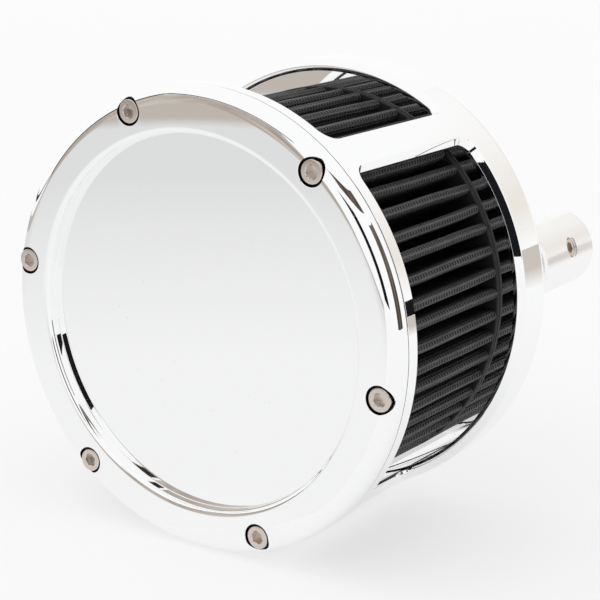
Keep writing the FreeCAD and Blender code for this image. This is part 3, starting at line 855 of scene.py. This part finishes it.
def metal_material(name, colour, roughness, haze, wave):
    """A polished or brushed metal with the wiped-metal group."""
    material, tree, shader = new_material(name)
    shader.inputs["Metallic"].default_value = 1.0
    group = tree.nodes.new("ShaderNodeGroup")
    group.node_tree = wiped_metal
    for label, value in (("Roughness", roughness), ("Haze", haze), ("Wave", wave)):
        group.inputs[label].default_value = value
    tree.links.new(object_coordinates(tree), group.inputs["Vector"])
    tree.links.new(group.outputs["Roughness"], shader.inputs["Roughness"])
    add_bump(tree, shader, group.outputs["Height"], 0.12, 0.00002)
    speck_colour = tuple(value * 0.82 for value in colour)
    tint = colour_mix(tree, colour, speck_colour, group.outputs["Speck"])
    tree.links.new(tint, shader.inputs["Base Color"])
    return material


chrome = metal_material("show_chrome", (0.965, 0.967, 0.97), 0.012, 0.03, 0.6)
satin_chrome = metal_material("spacer_satin_chrome", (0.95, 0.95, 0.95), 0.21, 0.08, 0.3)
screw_steel = metal_material("screw_stainless", (0.66, 0.60, 0.55), 0.2, 0.15, 0.6)
# Painted shade: a dark brown metal for the walls of the screw sockets.
socket_shade_steel = metal_material("socket_painted_shade", (0.20, 0.14, 0.105), 0.3, 0.15, 0.6)
# Painted shade: a dark chrome for the bores of the wells and the faces of the joint.
well_shade_chrome = metal_material("well_painted_shade_chrome", (0.12, 0.12, 0.125), 0.2, 0.1, 0.6)
stack_aluminium = metal_material("turned_aluminium", (0.86, 0.865, 0.87), 0.24, 0.10, 0.8)
core_steel = metal_material("core_sheet_steel", (0.55, 0.56, 0.57), 0.32, 0.15, 0.8)
print("metals ready")


# %% [markdown]
# ### Black wire cloth over gauze
#
# The crests show as rows of fine ticks: the wires that cross the fold. The pattern
# follows the cloth, so it reads the media's own map, where one unit is a millimetre.

# %% Build the wire cloth
def build_wire_cloth():
    """Height and light-catching mask of a plain woven screen, in millimetres."""
    group, start, end = group_sockets("wire_cloth", [
        ("Vector", "NodeSocketVector", None),
        ("Pitch", "NodeSocketFloat", 1.1),
    ], [("Height", "NodeSocketFloat"), ("Mask", "NodeSocketFloat")])
    split = group.nodes.new("ShaderNodeSeparateXYZ")
    group.links.new(start.outputs["Vector"], split.inputs["Vector"])
    turns = []
    for axis in ("X", "Y"):
        count = math_node(group, "DIVIDE", split.outputs[axis], start.outputs["Pitch"])
        turns.append(math_node(group, "MULTIPLY", count, math.pi))
    wires = []
    for turn in turns:
        wave = math_node(group, "ABSOLUTE", math_node(group, "COSINE", turn))
        wires.append(math_node(group, "POWER", wave, 4.0))
    sines = [math_node(group, "SINE", turn) for turn in turns]
    over = math_node(group, "MULTIPLY", sines[0], sines[1])
    lifted = [
        math_node(group, "MULTIPLY", wire, math_node(group, "MULTIPLY_ADD", over, lift, 0.75))
        for wire, lift in zip(wires, (0.25, -0.25))]
    height = math_node(group, "MAXIMUM", lifted[0], lifted[1])
    group.links.new(height, end.inputs["Height"])
    group.links.new(math_node(group, "SMOOTH_MIN", height, 0.8, 0.1), end.inputs["Mask"])
    return group


wire_cloth = build_wire_cloth()

# %% Weave the filter's cloth
CLOTH_PITCH = 1.9
SHINE_FROM = 0.073
SHINE_FULL = 0.0772

media_material, tree, shader = new_material("black_wire_cloth")
cloth_coordinates = tree.nodes.new("ShaderNodeUVMap")
cloth_coordinates.uv_map = "cloth"
weave = tree.nodes.new("ShaderNodeGroup")
weave.node_tree = wire_cloth
weave.inputs["Pitch"].default_value = CLOTH_PITCH
tree.links.new(cloth_coordinates.outputs["UV"], weave.inputs["Vector"])
patchy = noise_node(tree, object_coordinates(tree), 140.0, 4.0)
# Painted shade: the folds are painted dark towards their roots, so the wires only show light
# near the crests; the patchy noise varies the tone at random.
flat = tree.nodes.new("ShaderNodeVectorMath")
flat.operation = "MULTIPLY"
flat.inputs[1].default_value = (1, 0, 1)
tree.links.new(object_coordinates(tree), flat.inputs[0])
radius = tree.nodes.new("ShaderNodeVectorMath")
radius.operation = "LENGTH"
tree.links.new(flat.outputs["Vector"], radius.inputs[0])
crest = share_between(tree, radius.outputs["Value"], SHINE_FROM, SHINE_FULL, least=0.05)
fold_shade_and_patches = math_node(tree, "MULTIPLY", crest, math_node(tree, "MULTIPLY_ADD", patchy, 0.8, 0.5))
shine = math_node(tree, "MULTIPLY", weave.outputs["Mask"], fold_shade_and_patches)
cloth_colour = colour_mix(tree, (0.0025, 0.0025, 0.003), (0.15, 0.15, 0.153), shine)
tree.links.new(cloth_colour, shader.inputs["Base Color"])
shader.inputs["Roughness"].default_value = 0.6
shader.inputs["Specular IOR Level"].default_value = 0.25
add_bump(tree, shader, weave.outputs["Height"], 1.0, 0.0005)
print("wire cloth ready")


# %% [markdown]
# ### Rubber
#
# The filter's moulded end caps and the seals are black rubber, slightly dusty, with the
# fine pebble of a mould.

# %% Build the rubber
def rubber_material(name, dark, dusty, roughness, pebble):
    """Moulded rubber with a pebbled skin and a little dust."""
    material, tree, shader = new_material(name)
    vector = object_coordinates(tree)
    colour = colour_mix(tree, dark, dusty, noise_node(tree, vector, 75.0, 5.0))
    tree.links.new(colour, shader.inputs["Base Color"])
    grain = noise_node(tree, vector, 2200.0, 2.0)
    rough = math_node(tree, "MULTIPLY_ADD", grain, 0.2, roughness - 0.1)
    tree.links.new(rough, shader.inputs["Roughness"])
    add_bump(tree, shader, grain, pebble, 0.0001)
    return material


cap_rubber = rubber_material(
    "cap_rubber", (0.004, 0.004, 0.0045), (0.010, 0.010, 0.011), 0.6, 0.4)
seal_rubber = rubber_material(
    "seal_rubber", (0.012, 0.012, 0.012), (0.02, 0.02, 0.02), 0.4, 0.15)

# %% Put the finishes on
finishes = {
    cover: chrome, housing: chrome, cover_screws: screw_steel, media: media_material,
    potting[0]: cap_rubber, potting[1]: cap_rubber,
    spacers[1]: satin_chrome, spacers[-1]: satin_chrome,
    port_screws[1]: screw_steel, port_screws[-1]: screw_steel,
}
node_finishes = {
    "front_cover": chrome, "housing": chrome, "cover_screws": screw_steel,
    "filter_media": media_material, "filter_core": core_steel,
    "filter_front_cap": cap_rubber, "filter_rear_cap": cap_rubber,
    "velocity_stack": stack_aluminium, "stack_screws": screw_steel, "spacer_screws": screw_steel,
    "cover_seal": seal_rubber, "throttle_seal": seal_rubber,
}
for side_name, _ in SIDES:
    node_finishes["breather_spacer_" + side_name] = satin_chrome
    node_finishes["port_screw_" + side_name] = screw_steel
    node_finishes["housing_seal_" + side_name] = seal_rubber
    node_finishes["head_seal_" + side_name] = seal_rubber
for piece, material in finishes.items():
    piece.data.materials.clear()
    piece.data.materials.append(material)
for name, material in node_finishes.items():
    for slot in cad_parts[name].material_slots:
        slot.material = material


# %% [markdown]
# ### Painted shade in the metal
#
# The walls of the sockets, the bores of the wells and the faces of the joint get a second,
# darker metal: painted shade in these hollows and gaps.

# %% Paint shade into the sockets, the wells and the joint
def shade_inside(piece, material, axes, reach, depths):
    """Give a second material to the faces near some axes, between two depths, in mm."""
    piece.data.materials.append(material)
    for face in piece.data.polygons:
        corners = [piece.data.vertices[number].co for number in face.vertices]
        for mouth, inward in axes:
            depth = (face.center - mouth).dot(inward)
            if not depths[0] * MM < depth < depths[1] * MM:
                continue
            spans = [corner - mouth for corner in corners]
            if all((span - inward * span.dot(inward)).length < reach * MM for span in spans):
                face.material_index = 1
                break


screw_axes = []
for angle in SCREW_ANGLES:
    lean = math.radians(angle)
    across = Vector((math.cos(lean), 0, math.sin(lean))) * SCREW_RADIUS * MM
    screw_axes.append((across + Vector((0, HEAD_FACE * MM, 0)), Vector((0, 1, 0))))
# Painted shade on the walls of the cover screws' sockets.
shade_inside(cover_screws, socket_shade_steel, screw_axes, 2.45, (0.4, 2.15))
# Painted shade in the bores of the screw wells.
shade_inside(cover, well_shade_chrome, screw_axes, WELL_MOUTH, (0.1, 9))
# Painted shade in the joint between cover and housing: its faces and the last of its rounding
# draw a thin dark line.
housing.data.materials.append(well_shade_chrome)
for piece in (cover, housing):
    for face in piece.data.polygons:
        radius = math.hypot(face.center.x, face.center.z) / MM
        if 80 < radius < 88.9 and abs(face.center.y / MM - JOINT) < 0.3:
            face.material_index = 1
for _, side in SIDES:
    lean = port_lean(side)
    outward = Vector((math.cos(lean), 0, math.sin(lean)))
    centre = Vector((side * SPACER_X, PORT_Y, SPACER_Z)) * MM
    port_axis = (centre + outward * PORT_FACE * MM, -outward)
    # Painted shade on the walls of the port screws' sockets.
    shade_inside(port_screws[side], socket_shade_steel, [port_axis], 2.2, (0.5, 2.4))
print("finished", len(finishes), "pieces and", len(node_finishes), "nodes")

# %% [markdown]
# ## The studio
#
# The photograph was taken in a white tent: chrome shows the white all round, and thin dark
# streaks where the tent opens for the camera. The floor is white and takes a soft shadow.
# The cards are seen only in reflections.

# %% Lay the floor
FLOOR_LEVEL = -BODY_RADIUS
FLOOR_GLOW = 0.66
SEEN_GREY = (0.29, 0.29, 0.29)
LIT_WHITE = (0.93, 0.93, 0.93)


def seen_directly(tree):
    """1 for camera, glossy and transmission rays, 0 for the light that falls on things."""
    path = tree.nodes.new("ShaderNodeLightPath")
    seen = path.outputs["Is Camera Ray"]
    for kind in ("Is Glossy Ray", "Is Transmission Ray"):
        seen = math_node(tree, "MAXIMUM", seen, path.outputs[kind])
    return seen


clear_selection()
bpy.ops.mesh.primitive_circle_add(
    vertices=96, radius=9.0, fill_type="NGON", location=(0, 0, FLOOR_LEVEL * MM))
floor = bpy.context.object
floor.name = "studio_floor"
floor_material, tree, shader = new_material("white_floor")
seen = seen_directly(tree)
shader.inputs["Emission Color"].default_value = (1, 1, 1, 1)
glow = math_node(tree, "MULTIPLY", seen, FLOOR_GLOW)
tree.links.new(glow, shader.inputs["Emission Strength"])
tree.links.new(colour_mix(tree, LIT_WHITE, SEEN_GREY, seen), shader.inputs["Base Color"])
shader.inputs["Roughness"].default_value = 0.9
shader.inputs["Specular IOR Level"].default_value = 0.1
floor.data.materials.append(floor_material)

# %% Light the tent
TENT_LIGHT = 0.71
TENT_SEEN = 1.0

world = bpy.data.worlds.new("white_tent")
bpy.context.scene.world = world
world.use_nodes = True
tree = world.node_tree
tree.nodes.clear()
mixed = tree.nodes.new("ShaderNodeMixShader")
tree.links.new(seen_directly(tree), mixed.inputs["Fac"])
for index, strength in ((1, TENT_LIGHT), (2, TENT_SEEN)):
    shine = tree.nodes.new("ShaderNodeBackground")
    shine.inputs["Color"].default_value = (1, 1, 1, 1)
    shine.inputs["Strength"].default_value = strength
    tree.links.new(shine.outputs[0], mixed.inputs[index])
out = tree.nodes.new("ShaderNodeOutputWorld")
tree.links.new(mixed.outputs[0], out.inputs["Surface"])

bpy.ops.object.light_add(type="SUN", rotation=(math.radians(28), math.radians(-20), 0))
sun = bpy.context.object
sun.name = "tent_top"
sun.data.energy = 1.1
sun.data.angle = math.radians(80)
sun.visible_glossy = False
print("tent lit")


# %% Hang the reflection cards
def facing(azimuth, elevation):
    """A direction, azimuth from the front towards +X and elevation above the floor."""
    azimuth, elevation = math.radians(azimuth), math.radians(elevation)
    return Vector((
        math.sin(azimuth) * math.cos(elevation),
        -math.cos(azimuth) * math.cos(elevation),
        math.sin(elevation)))


def bare_material(name):
    """A material with no nodes yet."""
    material = bpy.data.materials.new(name)
    material.use_nodes = True
    material.node_tree.nodes.clear()
    return material, material.node_tree


def glow_shader(tree, colour):
    """An Emission shader with a colour from a socket."""
    glow = tree.nodes.new("ShaderNodeEmission")
    tree.links.new(colour, glow.inputs["Color"])
    return glow.outputs[0]


def to_surface(tree, shader_output):
    """Send a shader to the material's surface."""
    out = tree.nodes.new("ShaderNodeOutputMaterial")
    tree.links.new(shader_output, out.inputs["Surface"])


def glow_material(name, plain, streak=None, soft=None):
    """A glowing card: one colour or two in upright streaks, its edges soft or sharp.

    soft gives how much of the card's height fades to white at the bottom and at the top.
    """
    material, tree = bare_material(name)
    upright = noise_node(tree, object_coordinates(tree, (1, 1, 0.12)), 4.5, 3.0)
    upright = math_node(tree, "MULTIPLY_ADD", upright, 3.0, -1.0)
    colour = colour_mix(tree, plain, streak or plain, upright)
    if soft:
        place = tree.nodes.new("ShaderNodeUVMap")
        place.uv_map = "UVMap"
        split = tree.nodes.new("ShaderNodeSeparateXYZ")
        tree.links.new(place.outputs["UV"], split.inputs["Vector"])
        height = split.outputs["Y"]
        below_top = math_node(tree, "SUBTRACT", 1.0, height)
        rise = math_node(tree, "DIVIDE", height, max(soft[0], 0.001))
        fall = math_node(tree, "DIVIDE", below_top, max(soft[1], 0.001))
        shown = math_node(tree, "MINIMUM", math_node(tree, "MINIMUM", rise, fall), 1.0)
        colour = colour_mix(tree, (1, 1, 1), colour, shown)
    to_surface(tree, glow_shader(tree, colour))
    return material


shades = {
    "dark": glow_material("tent_opening", (0.010, 0.010, 0.012)),
    "line": glow_material("tent_seam", (0.03, 0.026, 0.024)),
    "brown": glow_material("room_brown", (0.20, 0.155, 0.125), (0.012, 0.011, 0.011)),
    "beige": glow_material("room_beige", (0.60, 0.55, 0.49), (0.36, 0.31, 0.27)),
    "table": glow_material("table_beige", (0.60, 0.555, 0.51), soft=(0.5, 0.0)),
    "cream": glow_material("tent_cream", (0.86, 0.82, 0.76), soft=(0.35, 0.55)),
}


def only_in_reflections(piece):
    """Hide a studio piece from everything but the reflections."""
    piece.visible_camera = False
    piece.visible_diffuse = False
    piece.visible_shadow = False
    piece.visible_transmission = False
    return piece


CARD_DISTANCE = 1.5
CARD_CENTRE = Vector((0, -0.06, 0))


def hang_card(name, azimuths, elevations, shade, lean=0.0):
    """A card curved round the object between two azimuths and two elevations."""
    clear_selection()
    bpy.ops.mesh.primitive_grid_add(x_subdivisions=24, y_subdivisions=8, size=2)
    card = bpy.context.object
    card.name = name
    for point in card.data.vertices:
        azimuth = azimuths[0] + (azimuths[1] - azimuths[0]) * (point.co.x + 1) / 2
        elevation = elevations[0] + (elevations[1] - elevations[0]) * (point.co.y + 1) / 2
        point.co = CARD_CENTRE + facing(azimuth + lean * point.co.y, elevation) * CARD_DISTANCE
    card.data.materials.append(shades[shade])
    return only_in_reflections(card)


cards = [
    hang_card("camera_opening", (22, 39), (1, 30), "dark", lean=-7),
    hang_card("side_opening", (78, 108), (-9, 37), "brown"),
    hang_card("side_opening_top", (34, 92), (42, 52), "brown"),
    hang_card("front_room", (-58, -11), (-3, 35), "beige"),
    hang_card("front_room_seam", (-60, -4), (36, 39), "line"),
    hang_card("left_seam", (-104, -58), (-0.6, 0.5), "line"),
    hang_card("left_edge", (-62, -58), (0, 38), "line"),
    hang_card("tent_back_right", (136, 190), (1, 34), "cream"),
]


# %% Stand the near cards behind
CARD_PLACE = 336.0


def stand_card(name, across, heights, shade):
    """An upright card across the Y axis behind the object, in mm."""
    clear_selection()
    bpy.ops.mesh.primitive_plane_add(size=1)
    card = bpy.context.object
    card.name = name
    for point in card.data.vertices:
        x = across[0] + (across[1] - across[0]) * (point.co.x + 0.5)
        z = heights[0] + (heights[1] - heights[0]) * (point.co.y + 0.5)
        point.co = Vector((x, CARD_PLACE, z)) * MM
    card.data.materials.append(shades[shade])
    return only_in_reflections(card)


cards += [
    stand_card("table_near", (230, 330), (-70, 27), "table"),
    stand_card("dark_near", (345, 440), (-27, 19), "dark"),
    stand_card("table_far", (345, 440), (-88, -27.5), "table"),
]

# %% Lay the painted floor reflection in front
SWEEP_MIDDLE = -45
SWEEP_HALF = 62
SWEEP_REACH = 1.6
# Painted shade: light grey near the object, darker grey far from it.
NEAR_SWEEP_LIGHT = (0.92, 0.92, 0.923)
FAR_SWEEP_SHADE = (0.745, 0.746, 0.75)
TABLE_BEIGE = (0.53, 0.48, 0.43)

clear_selection()
bpy.ops.mesh.primitive_grid_add(x_subdivisions=32, y_subdivisions=24, size=2)
sweep = bpy.context.object
sweep.name = "front_sweep"
for point in sweep.data.vertices:
    azimuth = SWEEP_MIDDLE + SWEEP_HALF * point.co.x
    distance = 0.02 + SWEEP_REACH * ((point.co.y + 1) / 2) ** 2
    foot = Vector((0, FRONT * MM, (FLOOR_LEVEL + 0.6) * MM))
    point.co = foot + facing(azimuth, 0) * distance
sweep_material, tree = bare_material("front_sweep_painted_falloff")
measure = tree.nodes.new("ShaderNodeVectorMath")
measure.operation = "DISTANCE"
measure.inputs[1].default_value = (0, FRONT * MM, FLOOR_LEVEL * MM)
tree.links.new(object_coordinates(tree), measure.inputs[0])
away = measure.outputs["Value"]
# Painted shade: the sweep glows brighter near the object and darker away from it, as the light
# on the floor falls off.
grey = colour_mix(tree, NEAR_SWEEP_LIGHT, FAR_SWEEP_SHADE, share_between(tree, away, 0.25, 0.75))
# Past the paper sweep the beige table shows, and the near edge fades in.
grey = colour_mix(tree, grey, TABLE_BEIGE, share_between(tree, away, 1.0, 1.06))
clear = tree.nodes.new("ShaderNodeBsdfTransparent")
blend = tree.nodes.new("ShaderNodeMixShader")
tree.links.new(share_between(tree, away, 0.02, 0.06), blend.inputs["Fac"])
tree.links.new(clear.outputs[0], blend.inputs[1])
tree.links.new(glow_shader(tree, grey), blend.inputs[2])
to_surface(tree, blend.outputs[0])
sweep.data.materials.append(sweep_material)
cards.append(only_in_reflections(sweep))
print("cards:", len(cards))

# %% [markdown]
# ## The camera
#
# The camera stands where the photograph's did: to the right, above and close, with a
# long lens.

# %% Set the camera
AZIMUTH = 34.52
ELEVATION = 14.86
DISTANCE = 655.6
ASIDE = 39.74
ABOVE = 9.68

back = facing(AZIMUTH, ELEVATION)
right = Vector((math.cos(math.radians(AZIMUTH)), math.sin(math.radians(AZIMUTH)), 0))
up = back.cross(right)
camera_data = bpy.data.cameras.new("photo_camera")
camera = bpy.data.objects.new("photo_camera", camera_data)
bpy.context.scene.collection.objects.link(camera)
spot = Vector((0, FRONT, 0)) + back * DISTANCE + right * ASIDE + up * ABOVE
turn = Matrix((right, up, back)).transposed().to_4x4()
camera.matrix_world = Matrix.Translation(spot * MM) @ turn
camera_data.sensor_width = 36.0
camera_data.lens = 106.56
camera_data.clip_start = 0.01
camera_data.clip_end = 60.0
bpy.context.scene.camera = camera
print("camera at", [round(value, 3) for value in camera.location])

# %% [markdown]
# ## Close the lesson
#
# The colours stay as written, so the view transform is Standard.

# %% Set the view and finish
bpy.context.scene.view_settings.view_transform = "Standard"
